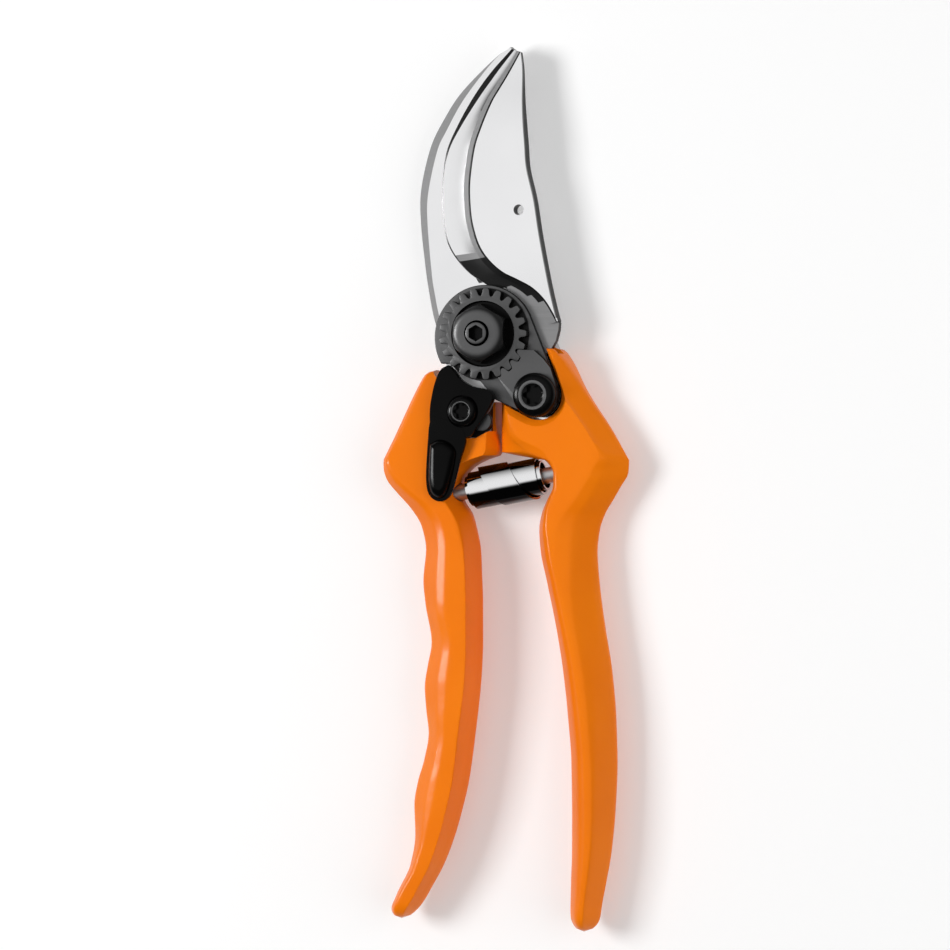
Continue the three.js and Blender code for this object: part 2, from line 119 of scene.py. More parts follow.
def rowAt(rows, y):
    # every column of a table of rows, top row first, at y
    if y >= rows[0][0]:
        return list(rows[0][1:])
    if y <= rows[-1][0]:
        return list(rows[-1][1:])
    i = next(k for k in range(len(rows) - 1) if rows[k + 1][0] <= y)
    gap = rows[i][0] - rows[i + 1][0]
    t = (rows[i][0] - y) / gap
    values = []
    for column in range(1, len(rows[0])):
        a, b = rows[i][column], rows[i + 1][column]
        slopeA, slopeB = rowSlope(rows, i, column) * gap, rowSlope(rows, i + 1, column) * gap
        ease = 3 * t**2 - 2 * t**3
        values.append(a + (b - a) * ease + slopeA * (t**3 - 2 * t**2 + t) + slopeB * (t**3 - t**2))
    return values


# meshes


def newPiece(name, bm, mergeBy=0.002):
    # a finished bmesh, worked in millimetres, becomes an object in metres
    bmesh.ops.remove_doubles(bm, verts=bm.verts, dist=mergeBy)
    bmesh.ops.recalc_face_normals(bm, faces=bm.faces)
    bmesh.ops.scale(bm, vec=(mm, mm, mm), verts=bm.verts)
    mesh = bpy.data.meshes.new(name)
    bm.to_mesh(mesh)
    bm.free()
    piece = bpy.data.objects.new(name, mesh)
    bpy.context.scene.collection.objects.link(piece)
    return piece


def bake(piece):
    # the mesh that the modifiers give takes the place of the base mesh
    bpy.context.view_layer.update()
    mesh = bpy.data.meshes.new_from_object(piece.evaluated_get(bpy.context.evaluated_depsgraph_get()))
    piece.modifiers.clear()
    piece.data = mesh
    return piece


def combine(piece, others, operation="DIFFERENCE"):
    for other in others:
        modifier = piece.modifiers.new("combine", "BOOLEAN")
        modifier.operation = operation
        modifier.solver = "EXACT"
        modifier.object = other
    bake(piece)
    for other in others:
        bpy.data.objects.remove(other)
    return piece


def roundEdges(piece, width, segments=2, angle=35):
    modifier = piece.modifiers.new("rounding", "BEVEL")
    modifier.width = width * mm
    modifier.segments = segments
    modifier.limit_method = "ANGLE"
    modifier.angle_limit = math.radians(angle)
    return bake(piece)


def shade(piece, angle=30):
    bm = bmesh.new()
    bm.from_mesh(piece.data)
    for face in bm.faces:
        face.smooth = True
    for edge in bm.edges:
        edge.smooth = len(edge.link_faces) == 2 and edge.calc_face_angle(0) < math.radians(angle)
    bm.to_mesh(piece.data)
    bm.free()


def place(piece, node, slot, body, angle=30):
    # the piece takes its slot's finish, unless it already has finishes of its own
    shade(piece, angle)
    if not piece.data.materials:
        piece.data.materials.append(finishes[slot])
    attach(piece, body)
    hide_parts(node)
    return piece


def markFaces(piece, plainFinish, markedFinish, isMarked):
    # faces that the test picks take a second finish
    piece.data.materials.append(plainFinish)
    piece.data.materials.append(markedFinish)
    for face in piece.data.polygons:
        if isMarked(face):
            face.material_index = 1


def slab(name, outline, bottom, top, upper=None):
    # a flat outline, drawn as a face and raised, to another outline where one is given
    bm = bmesh.new()
    face = bm.faces.new([bm.verts.new((p[0], p[1], bottom)) for p in outline])
    raised = bmesh.ops.extrude_face_region(bm, geom=[face])["geom"]
    moved = [v for v in raised if isinstance(v, bmesh.types.BMVert)]
    bmesh.ops.translate(bm, vec=(0, 0, top - bottom), verts=moved)
    for vert in moved:
        if upper:
            nearest = min(range(len(outline)), key=lambda k: (vert.co.xy - Vector(outline[k])).length)
            vert.co.xy = upper[nearest]
    return newPiece(name, bm)


def rod(name, centre, radius, bottom, top, sides=64):
    bm = bmesh.new()
    turn = Matrix.Translation((centre[0], centre[1], (bottom + top) / 2))
    bmesh.ops.create_cone(
        bm, cap_ends=True, segments=sides, radius1=radius, radius2=radius, depth=top - bottom, matrix=turn
    )
    return newPiece(name, bm)


def hole(kind, centre=pivotAt, bottom=farBelow):
    # a cutter for one kind of hole, open upwards
    sides = 64 if kind == "bolt" else 32
    return rod(kind + "Hole", centre, holeRadius[kind], bottom, farAbove, sides)


def lathe(name, profile, centre=(0, 0), sides=64):
    # a profile of (radius, height) pairs, from axis to axis, spun about the upright axis
    bm = bmesh.new()
    verts = [bm.verts.new((r, 0, z)) for r, z in profile]
    edges = [bm.edges.new(pair) for pair in zip(verts, verts[1:])]
    bmesh.ops.spin(
        bm, geom=verts + edges, cent=(0, 0, 0), axis=(0, 0, 1), angle=2 * math.pi, steps=sides, use_merge=True
    )
    bmesh.ops.translate(bm, vec=(centre[0], centre[1], 0), verts=bm.verts)
    return newPiece(name, bm)


def arc(centre, radius, start, end, count):
    angles = [math.radians(start + (end - start) * k / count) for k in range(count + 1)]
    return [(centre[0] + radius * math.cos(a), centre[1] + radius * math.sin(a)) for a in angles]


def teardropOutline(pivotCircle, screwCircle, count=40, centre=(0, 0)):
    # two circles joined by their outer tangents
    reach = segmentScrewAt - Vector(centre)
    towards = math.degrees(math.atan2(reach.y, reach.x))
    spread = math.degrees(math.acos((pivotCircle - screwCircle) / reach.length))
    around = arc(centre, pivotCircle, towards + spread, towards - spread + 360, count)
    return around + arc(segmentScrewAt, screwCircle, towards - spread, towards + spread, count // 2)


def mappedGrid(along, across, spot, band=None):
    # a grid whose two directions run 0 to 1, each corner moved to spot(u, v)
    bm = bmesh.new()
    bmesh.ops.create_grid(bm, x_segments=along, y_segments=across, size=1)
    for face in bm.faces:
        middle = face.calc_center_median()
        face.material_index = band((middle.x + 1) / 2, (middle.y + 1) / 2) if band else 0
    for vert in bm.verts:
        vert.co = spot((vert.co.x + 1) / 2, (vert.co.y + 1) / 2)
    return bm


# finishes


class Wire:
    # a node's output that can be used in sums
    def __init__(self, nodes, socket):
        self.nodes = nodes
        self.socket = socket

    def math(self, operation, first, second):
        return self.nodes.node("ShaderNodeMath", {"operation": operation}, {0: first, 1: second})

    def output(self, name):
        return Wire(self.nodes, self.socket.node.outputs[name])

    def __add__(self, other):
        return self.math("ADD", self, other)

    __radd__ = __add__

    def __sub__(self, other):
        return self.math("SUBTRACT", self, other)

    def __rsub__(self, other):
        return self.math("SUBTRACT", other, self)

    def __mul__(self, other):
        return self.math("MULTIPLY", self, other)

    __rmul__ = __mul__


class Nodes:
    # a node tree and the one way to add to it
    def __init__(self, tree, shader):
        self.tree = tree
        self.shader = tree.nodes[shader]

    def node(self, kind, settings=None, inputs=None, output=0):
        made = self.tree.nodes.new(kind)
        for key, value in (settings or {}).items():
            if key == "stops":
                for stop, (position, colour) in zip(self.rampStops(made, len(value)), value):
                    stop.position = position
                    stop.color = colour
            else:
                setattr(made, key, value)
        for key, value in (inputs or {}).items():
            if isinstance(value, Wire):
                self.tree.links.new(value.socket, made.inputs[key])
            else:
                made.inputs[key].default_value = value
        return Wire(self, made.outputs[output])

    def rampStops(self, made, count):
        stops = made.color_ramp.elements
        while len(stops) < count:
            stops.new(0.5)
        return stops

    def feed(self, socket, wire):
        self.tree.links.new(wire.socket, self.shader.inputs[socket])

    def between(self, wire, low, high, smooth=False):
        # 0 below low and 1 above high
        settings = {"interpolation_type": "SMOOTHSTEP"} if smooth else None
        return self.node("ShaderNodeMapRange", settings, {"Value": wire, "From Min": low, "From Max": high})


class Finish(Nodes):
    # one material: a Principled shader and the nodes that feed it
    def __init__(self, name, **constants):
        self.material = bpy.data.materials.new(name)
        self.material.use_nodes = True
        super().__init__(self.material.node_tree, "Principled BSDF")
        for socket, value in constants.items():
            self.shader.inputs[socket.replace("_", " ")].default_value = value
        self.coordinates = self.node("ShaderNodeTexCoord", output="Object")

    def facing(self, axis):
        # how far the surface faces along one of the piece's axes, -1 to 1
        normal = self.node("ShaderNodeTexCoord", output="Normal")
        return self.node("ShaderNodeSeparateXYZ", None, {"Vector": normal}, axis)

    def stretched(self, scale):
        return self.node("ShaderNodeMapping", None, {"Vector": self.coordinates, "Scale": scale})

    def noise(self, scale, detail=3.0, stretch=(1, 1, 1), roughness=0.5):
        inputs = {"Vector": self.stretched(stretch), "Scale": scale, "Detail": detail, "Roughness": roughness}
        return self.node("ShaderNodeTexNoise", None, inputs)

    def ramp(self, wire, stops):
        return self.node("ShaderNodeValToRGB", {"stops": stops}, {"Fac": wire})

    def bump(self, height, strength, distance):
        inputs = {"Height": height, "Strength": strength, "Distance": distance}
        self.feed("Normal", self.node("ShaderNodeBump", None, inputs))


def grey(value):
    return (value, value, value * 1.01, 1)


def orangeCoating():
    finish = Finish("orangeCoating", Coat_Roughness=0.1, Specular_IOR_Level=0.07)
    drift = finish.noise(38, 4)
    oranges = [(0.3, (0.86, 0.178, 0.002, 1)), (0.7, (0.91, 0.208, 0.003, 1))]
    finish.feed("Base Color", finish.ramp(drift, oranges))
    smear = finish.noise(210, 3, (1, 0.35, 1))
    finish.feed("Roughness", smear * 0.14 + 0.26)
    finish.feed("Coat Weight", smear * 0.08 + 0.05)
    finish.bump(finish.noise(900, 2) + drift * 0.6, 0.12, 0.0004)
    return finish.material


def polishedBlade():
    finish = Finish("polishedBlade", Metallic=1.0)
    grind = finish.noise(300, 5, (0.12, 9, 1), 0.65)
    cloud = finish.noise(32, 4)
    finish.feed("Base Color", finish.ramp(cloud, [(0.25, grey(0.8)), (0.75, grey(0.88))]))
    finish.feed("Roughness", grind * 0.08 + cloud * 0.04 + 0.08)
    finish.bump(grind, 0.03, 0.0001)
    return finish.material


def groundAndPaintedSteel(name, shade, roughness):
    # a duller grey steel: the ground finish of the blades' steps, and in other copies painted shade and painted
    # highlight
    finish = Finish(name, Metallic=0.1, Specular_IOR_Level=0.12)
    grind = finish.noise(260, 5, (0.2, 7, 1), 0.7)
    finish.feed("Base Color", finish.ramp(grind, [(0.3, grey(0.94 * shade)), (0.7, grey(1.06 * shade))]))
    finish.feed("Roughness", grind * 0.16 + roughness)
    finish.bump(grind, 0.08, 0.0001)
    return finish.material


def darkSteel(shadowUnderTeeth=False):
    # dark steel with painted shade by which way a face turns: upright walls and undersides darker than faces
    # turned up
    finish = Finish("plateWithShadowUnderTeeth" if shadowUnderTeeth else "darkSteel", Metallic=0.8)
    speckle = finish.noise(1500, 4)
    cloud = finish.noise(90, 3)
    greys = [(0.35, grey(0.006)), (0.8, grey(0.03)), (0.96, grey(0.088)), (1, grey(0.1))]
    shade = finish.ramp(finish.facing("Z") + cloud * 0.06 - 0.03, greys)
    if shadowUnderTeeth:
        # painted shadow under the nut's teeth, left out past their tips and on the left side
        acrossOnly = {0: finish.coordinates, 1: (1, 1, 0)}
        flat = finish.node("ShaderNodeVectorMath", {"operation": "MULTIPLY"}, acrossOnly)
        reach = finish.node("ShaderNodeVectorMath", {"operation": "LENGTH"}, {0: flat}, "Value")
        sideways = finish.node("ShaderNodeSeparateXYZ", None, {"Vector": finish.coordinates}, "X")
        rim = finish.between(reach, 11.1 * mm, 11.4 * mm)
        leftUnshaded = finish.between(sideways, -2 * mm, -8 * mm)
        outsideShadow = finish.node("ShaderNodeMath", {"operation": "MAXIMUM"}, {0: rim, 1: leftUnshaded})
        mixed = {"Factor": outsideShadow, 6: grey(0.006), 7: shade}
        shade = finish.node("ShaderNodeMix", {"data_type": "RGBA"}, mixed, 2)
    finish.feed("Base Color", shade)
    finish.feed("Roughness", speckle * 0.16 + cloud * 0.1 + 0.28)
    finish.bump(speckle, 0.18, 0.00008)
    return finish.material


def blackenedSteel():
    finish = Finish("blackenedSteel", Metallic=0.0, Specular_IOR_Level=0.1)
    speckle = finish.noise(1400, 4)
    finish.feed("Base Color", finish.ramp(speckle, [(0.3, grey(0.001)), (0.7, grey(0.002))]))
    finish.feed("Roughness", speckle * 0.12 + 0.16)
    finish.bump(speckle, 0.12, 0.00006)
    return finish.material


def blackLever():
    finish = Finish("blackLever", Coat_Roughness=0.08, Specular_IOR_Level=0.05)
    pores = finish.noise(1100, 3)
    cloud = finish.noise(70, 3)
    finish.feed("Base Color", finish.ramp(cloud, [(0.3, grey(0.0008)), (0.7, grey(0.0014))]))
    finish.feed("Roughness", pores * 0.08 + 0.14)
    finish.feed("Coat Weight", cloud * 0.04 + 0.02)
    finish.bump(pores, 0.08, 0.0001)
    return finish.material


def chromePaintedReflection():
    finish = Finish("chromePaintedReflection", Metallic=1.0)
    rub = finish.noise(500, 4, (1, 1, 0.2))
    # painted reflection: light bands along the crown of each turn and dark bands down its sides, set by which
    # way the surface faces
    paintedReflectionBands = [
        (0.05, grey(0.1)), (0.08, grey(0.01)), (0.37, grey(0.01)), (0.42, grey(0.82)),
        (0.77, grey(0.84)), (0.81, grey(0.015)), (1, grey(0.03)),
    ]
    finish.feed("Base Color", finish.ramp(finish.facing("Y") * 0.5 + rub * 0.02 + 0.49, paintedReflectionBands))
    finish.feed("Roughness", rub * 0.06 + 0.05)
    finish.bump(rub, 0.03, 0.0001)
    return finish.material


def forgedAlloy():
    finish = Finish("forgedAlloy", Metallic=1.0)
    grain = finish.noise(1200, 5)
    finish.feed("Base Color", finish.ramp(grain, [(0.3, grey(0.5)), (0.7, grey(0.62))]))
    finish.feed("Roughness", grain * 0.2 + 0.35)
    finish.bump(grain, 0.3, 0.0001)
    return finish.material


def bumperRubber():
    finish = Finish("bumperRubber")
    grain = finish.noise(1600, 3)
    finish.feed("Base Color", finish.ramp(grain, [(0.3, grey(0.012)), (0.7, grey(0.022))]))
    finish.feed("Roughness", grain * 0.2 + 0.65)
    finish.bump(grain, 0.2, 0.0001)
    return finish.material


finishes = {
    "orange_coating": orangeCoating(),
    "blade_steel": polishedBlade(),
    "dark_steel": darkSteel(),
    "black_steel": blackenedSteel(),
    "black_lever": blackLever(),
    "spring_chrome": chromePaintedReflection(),
    "forged_alloy": forgedAlloy(),
    "bumper_rubber": bumperRubber(),
}
# blade finishes: polished steel; the step's ground grey, darkened as painted shade; near-black painted shade;
# pale painted highlight
bladeFinishes = [
    finishes["blade_steel"],
    groundAndPaintedSteel("groundStepWithShade", 0.25, 0.42),
    groundAndPaintedSteel("paintedShadeBlack", 0.008, 0.3),
    groundAndPaintedSteel("paintedHighlightPale", 0.86, 0.4),
]
plain, stepped, dark, pale = 0, 1, 2, 3  # places in that list
# a lighter grey for the screws' socket rims, as painted highlight
socketRimHighlight = groundAndPaintedSteel("socketRimHighlight", 0.12, 0.24)
print("finishes ready")


# handles: a loft of ten-cornered sections with rounded corners

palmHandle = {
    "body": "palm_side",
    "top": -3.1,
    "end": -145.4,
    # y, left, right, back, front
    "outline": [
        (-3.1, 13.8, 17.2, 1.6, 13.7),
        (-4.6, 13.3, 18.5, 0.8, 13.9),
        (-7.2, 12.3, 20.4, 0.5, 13.9),
        (-12, 8, 23.1, 0.4, 13.9),
        (-16, 2.9, 25.6, 0.4, 14),
        (-23, 2.9, 30.5, 0.4, 14),
        (-29, 2.9, 34.1, 0.4, 14),
        (-29.9, 8.5, 34.6, 0.4, 14),
        (-30.8, 14, 35.1, 0.4, 14),
        (-34, 16.1, 34.8, 0.4, 14),
        (-37, 16.1, 33, 0.4, 14.1),
        (-40.3, 14.65, 31, 0.5, 14.3),
        (-43.7, 13.25, 28.9, 0.6, 14.6),
        (-47.4, 12.65, 27.6, 0.8, 15),
        (-52.8, 13.05, 27, 1, 15.4),
        (-60.1, 14.65, 27.5, 1, 15.8),
        (-71.2, 17.05, 29, 1, 16),
        (-82.2, 18.85, 30.8, 1, 16),
        (-93.2, 20.05, 31.8, 1, 16),
        (-104.2, 20.85, 32.1, 1, 15.8),
        (-115.3, 20.95, 31.6, 1.1, 15.5),
        (-126.3, 20.85, 30.5, 1.4, 15),
        (-133.6, 20.55, 29.2, 1.9, 14.5),
        (-140, 20.4, 28, 2.4, 13.9),
        (-145.4, 20.6, 27.4, 3, 13.2),
    ],
    # y, left inset, right inset, left drop, right drop, step width, step drop, back inset, back rise, softness
    "facets": [
        (-3.1, 1, 1, 1.2, 0.9, 0.2, 0.1, 0.9, 3, 0.4),
        (-5.2, 1.4, 1.6, 2, 1.2, 0.2, 0.1, 1.3, 3.4, 0.36),
        (-8, 2.2, 3.2, 4, 3, 0.4, 0.3, 2, 4, 0.3),
        (-14.8, 3.4, 5.1, 5.2, 5, 0.6, 0.8, 2.6, 6, 0.2),
        (-20, 3.5, 5, 5.3, 5.2, 0.6, 0.9, 2.8, 6.6, 0.18),
        (-25.4, 5.9, 4.9, 5.3, 5.4, 0.7, 0.95, 3, 7, 0.18),
        (-27.5, 10.2, 4.8, 5.3, 5.6, 0.8, 1, 3.2, 7.2, 0.18),
        (-29, 13, 5, 5.3, 5.8, 1, 1.1, 3.4, 7.4, 0.18),
        (-29.9, 7.6, 5.4, 5.2, 5.9, 1.5, 1.2, 3.4, 7.4, 0.18),
        (-30.9, 2.7, 6.2, 5.2, 6, 2, 1.4, 3.4, 7.4, 0.2),
        (-34, 2.1, 7.8, 5.2, 6.2, 2.6, 1.7, 3.4, 7, 0.2),
        (-40.2, 2.5, 7.9, 5.4, 6.6, 3.2, 1.8, 3.4, 6.4, 0.22),
        (-46.1, 3.4, 8.7, 5.6, 6.8, 3.6, 1.7, 3.6, 6, 0.24),
        (-53.5, 4, 8.7, 5.8, 7, 4, 1.3, 3.8, 6, 0.26),
        (-61, 4, 7.7, 6, 7.2, 2.6, 0.9, 3.8, 6, 0.28),
        (-70, 4.1, 6.9, 6, 7.2, 1.6, 0.6, 3.6, 6, 0.3),
        (-94, 4.7, 6, 6, 7, 1.3, 0.35, 3.4, 6, 0.34),
        (-119, 4.9, 4.4, 5.8, 6.8, 1, 0.25, 3.2, 5.6, 0.36),
        (-135, 4.2, 3.4, 5.4, 6.2, 0.6, 0.15, 2.8, 5, 0.4),
        (-145.4, 3, 2.8, 4.4, 5, 0.3, 0.1, 2.2, 4, 0.45),
    ],
    "endRound": 3.6,
    "topRound": 0.8,
    "hollowFrom": -8.6,
    "pegSide": 1,
    "bumperPocket": [(1, -26.3), (5.7, -26.3), (5.7, -19.2), (1, -19.2)],
}

fingerHandle = {
    "body": "finger_side",
    "top": -8.4,
    "end": -143.4,
    "outline": [
        (-8.4, -15.9, -11, 1.2, 11.4),
        (-10.2, -17, -2, 0.8, 12),
        (-14, -19, 2.4, 0.4, 12.4),
        (-20, -21.9, 2.4, 0.4, 12.6),
        (-25, -24.3, 2.4, 0.4, 12.7),
        (-29.2, -26.3, 2.3, 0.4, 13.2),
        (-31, -27, -2.3, 0.4, 13.5),
        (-33, -27, -5.4, 0.4, 13.7),
        (-35.4, -26.4, -7.2, 0.4, 13.8),
        (-38.6, -24, -8, 0.4, 13.9),
        (-41, -21.8, -7.2, 0.5, 14),
        (-43.7, -19.6, -5.4, 0.6, 14.1),
        (-47, -17.6, -4.2, 0.8, 14.5),
        (-52.8, -16.3, -2.9, 1, 15.2),
        (-60.1, -16.8, -2.5, 1, 15.8),
        (-66, -16.2, -2.3, 1, 16),
        (-75.5, -14.6, -2.3, 1, 16),
        (-81, -15.6, -2.5, 1, 16),
        (-86.4, -16.4, -2.9, 1, 16),
        (-92, -16, -3.5, 1, 16),
        (-97.6, -15.4, -4.2, 1, 15.9),
        (-104.2, -16.6, -5.1, 1, 15.8),
        (-110, -18.4, -6.1, 1, 15.6),
        (-115.3, -19.3, -7.4, 1.1, 15.4),
        (-122.6, -19.1, -9.5, 1.4, 15),
        (-130, -20.4, -12.4, 1.9, 14.5),
        (-137.3, -24, -16.4, 2.7, 13.7),
        (-143.4, -26.3, -19.5, 3.4, 13),
    ],
    "facets": [
        (-8.4, 1.6, 1.4, 2.6, 2, 0.2, 0.1, 1, 3, 0.4),
        (-12, 1.9, 1.6, 2.4, 3, 0.2, 0.1, 1.6, 4, 0.3),
        (-17.8, 2.2, 2.2, 2.4, 3.4, 0.3, 0.1, 2, 5, 0.24),
        (-30.5, 2.3, 2.6, 2.4, 4, 0.3, 0.1, 2.6, 5, 0.24),
        (-34.3, 3.7, 2.8, 3, 4.4, 0.3, 0.1, 2.8, 5, 0.24),
        (-39.3, 5.6, 3, 3.8, 5, 0.4, 0.15, 3, 5, 0.24),
        (-42.8, 7, 3.2, 4.4, 5.6, 0.5, 0.15, 3.2, 5, 0.25),
        (-47.4, 7.1, 3.3, 4.8, 6.4, 1.2, 0.3, 3.4, 5.4, 0.25),
        (-53, 7, 2.2, 5, 7.4, 0.3, 0.2, 3.6, 5.8, 0.24),
        (-60, 7.6, 1.9, 5, 7.8, 0.2, 0.15, 3.6, 6, 0.24),
        (-69.8, 6.3, 1.9, 5, 8, 0.2, 0.15, 3.6, 6, 0.24),
        (-86, 7.4, 1.8, 5, 8, 0.2, 0.15, 3.4, 6, 0.24),
        (-97.6, 5.8, 2, 5, 7.8, 0.2, 0.15, 3.4, 6, 0.26),
        (-112.7, 6.8, 1.8, 5, 7.4, 0.2, 0.15, 3.2, 5.6, 0.28),
        (-122.6, 4.4, 1.8, 4.8, 6.8, 0.2, 0.1, 2.8, 5.2, 0.32),
        (-131, 3.1, 1.7, 4.6, 6, 0.2, 0.1, 2.4, 4.6, 0.36),
        (-143.4, 2.4, 1.8, 4, 4.6, 0.2, 0.1, 2, 3.6, 0.45),
    ],
    "endRound": 3.6,
    "topRound": 1.2,
    "hollowFrom": -11.6,
    "pegSide": -1,
    "tangPocket": [
        (-11.5, -2), (-11.5, -9.5), (-13.1, -13.1), (-13.1, -25.4),
        (-2.5, -25.4), (0.7, -23.7), (6, -23.7), (6, -2),
    ],
    "throatRelief": [(1.25, -2), (1.25, -21.5), (1.8, -24.8), (2.4, -28), (6, -28), (6, -2)],
}

coating = {"thickness": 1.4, "around": 6, "step": 1.0, "leastFlat": 0.5, "crowding": 0.045}
spring = {
    "centre": Vector((3.45, -36.6, 8.5)),
    "tilt": 10.5,
    "pegRadius": 2.0,
    "pegFrom": 6.6,
    "pegLength": 9,
}


def handleSection(handle, y, inset):
    left, right, back, front = rowAt(handle["outline"], y)
    left, right, back, front = left + inset, right - inset, back + inset, front - inset
    facets = rowAt(handle["facets"], y)
    leftIn, rightIn, leftDrop, rightDrop, stepWidth, stepDrop, backIn, backRise, softness = facets
    # facets shrink where the section is too small for them
    narrow = min(1, (right - left - coating["leastFlat"]) / (leftIn + rightIn))
    low = min(1, (front - back - coating["leastFlat"]) / (backRise + max(leftDrop, rightDrop)))
    leftIn, rightIn, stepWidth = leftIn * narrow, rightIn * narrow, stepWidth * narrow
    leftDrop, rightDrop, stepDrop, backRise = leftDrop * low, rightDrop * low, stepDrop * low, backRise * low
    corners = [
        (left, back + backRise),
        (left, front - leftDrop),
        (left + 0.64 * leftIn, front - 0.22 * leftDrop),
        (left + leftIn, front),
        (right - rightIn, front),
        (right - rightIn + stepWidth, front - stepDrop),
        (right, front - rightDrop),
        (right, back + backRise),
        (right - backIn, back),
        (left + backIn, back),
    ]
    section = []
    for i, corner in enumerate(corners):
        here = Vector(corner)
        before = here.lerp(Vector(corners[i - 1]), softness)
        after = here.lerp(Vector(corners[(i + 1) % len(corners)]), softness)
        for k in range(coating["around"]):
            t = k / (coating["around"] - 1)
            section.append(before.lerp(here, t).lerp(here.lerp(after, t), t))
    return section


def handleLoft(handle, name, inset, top):
    end = handle["end"] + inset
    rings = round((top - end) / coating["step"])
    count = 10 * coating["around"]
    sections = []
    for ring in range(rings + 1):
        # rings crowd towards both ends, where the form rounds over
        part = ring / rings
        y = top + (end - top) * (part - coating["crowding"] * math.sin(2 * math.pi * part))
        section = handleSection(handle, y, inset)
        middle = sum(section, Vector((0, 0))) / count
        closing = 1.0
        for distance, radius in ((y - end, handle["endRound"]), (top - y, handle["topRound"])):
            if distance < radius:
                closing = min(closing, math.sqrt(max(0, 1 - (1 - distance / radius) ** 2)))
        if inset and top - y < handle["topRound"]:
            closing = 1.0  # inner forms end square at the top
        sections.append([(middle.lerp(point, closing), y) for point in section])

    def spot(u, v):
        point, y = sections[round(u * rings)][round(v * count) % count]
        return Vector((point.x, y, point.y))

    bm = mappedGrid(rings, count, spot)
    bmesh.ops.remove_doubles(bm, verts=bm.verts, dist=0.01)
    bmesh.ops.holes_fill(bm, edges=[e for e in bm.edges if e.is_boundary], sides=0)
    return newPiece(name, bm)


def springTurn():
    return Matrix.Translation(spring["centre"]) @ Matrix.Rotation(math.radians(spring["tilt"]), 4, "Z")


def springPeg(side, radius):
    length = spring["pegLength"]
    outwards = Matrix.Translation((side * (spring["pegFrom"] + length / 2), 0, 0))
    turn = springTurn() @ outwards @ Matrix.Rotation(math.radians(90), 4, "Y")
    bm = bmesh.new()
    bmesh.ops.create_cone(
        bm, cap_ends=True, segments=32, radius1=radius, radius2=radius, depth=length, matrix=turn
    )
    return newPiece("springPeg", bm)


def heelSweep():
    # the space that the cutting blade's heel sweeps through
    low, high = 8.1, 12.4
    wedge = [pivotAt] + arc(pivotAt, 19.3, -54, 30, 28)
    return [rod("sweep", pivotAt, 16.9, low, high, 96), slab("sweepWedge", wedge, low, high)]


def palmCutters():
    recess = slab("armRecess", teardropOutline(13.2, 6), 11, 15.5)
    flare = slab("recessFlare", teardropOutline(13.2, 5.9), 12.5, 15.5, teardropOutline(15, 9.2))
    pocket = slab("bumperPocket", palmHandle["bumperPocket"], 4.7, 8.2)
    return [*heelSweep(), recess, flare, pocket]


def fingerCutters():
    well = rod("pivotWell", pivotAt, 16.6, farBelow, farAbove, 96)
    return [well, slab("tangPocket", fingerHandle["tangPocket"], plane["counterTop"], farAbove)]


def coatingShell(handle, name, node, cutters):
    shell = handleLoft(handle, name, 0, handle["top"])
    hollow = handleLoft(handle, "hollow", coating["thickness"], handle["hollowFrom"])
    peg = springPeg(handle["pegSide"], spring["pegRadius"] + clearance)
    combine(shell, [hollow, *cutters, peg])
    return place(shell, node, "orange_coating", handle["body"], 32)


def forging(handle, name, node, cutters, joined, holes):
    # the metal handle inside its coating
    core = handleLoft(handle, name, coating["thickness"] + clearance, handle["hollowFrom"] - clearance)
    combine(core, cutters)
    combine(core, [*joined, springPeg(handle["pegSide"], spring["pegRadius"])], "UNION")
    combine(core, holes)
    return place(core, node, "forged_alloy", handle["body"], 32)


neckPocket = slab("neckPocket", teardropOutline(13.2, 6.5), farBelow, 8.7)
coatingShell(palmHandle, "palmCoating", "palm_handle_sleeve", [neckPocket, *palmCutters()])
throatRelief = slab("throatRelief", fingerHandle["throatRelief"], 1.4, farAbove)
coatingShell(fingerHandle, "fingerCoating", "finger_handle_sleeve", [*fingerCutters(), throatRelief])
headPocket = slab("headPocket", teardropOutline(13.2, 6.5), plane["headTop"], farAbove)
neck = slab("neck", teardropOutline(12.9, 6.2), 0.6, plane["headTop"])
forging(
    palmHandle,
    "palmForging",
    "palm_handle_core",
    [headPocket, *palmCutters()],
    [neck],
    [
        rod("boltHeadHole", pivotAt, holeRadius["boltHead"], farBelow, 2.7),
        hole("bolt"),
        hole("screw", segmentScrewAt, 1.9),
        *[hole("rivet", rivet) for rivet in rivetsAt],
    ],
)
forging(
    fingerHandle,
    "fingerForging",
    "finger_handle_core",
    fingerCutters(),
    [],
    [hole("catch", catchScrewAt, 2.7), *[hole("pin", pin, 3.7) for pin in pinsAt]],
)
print("handles ready")

# blades

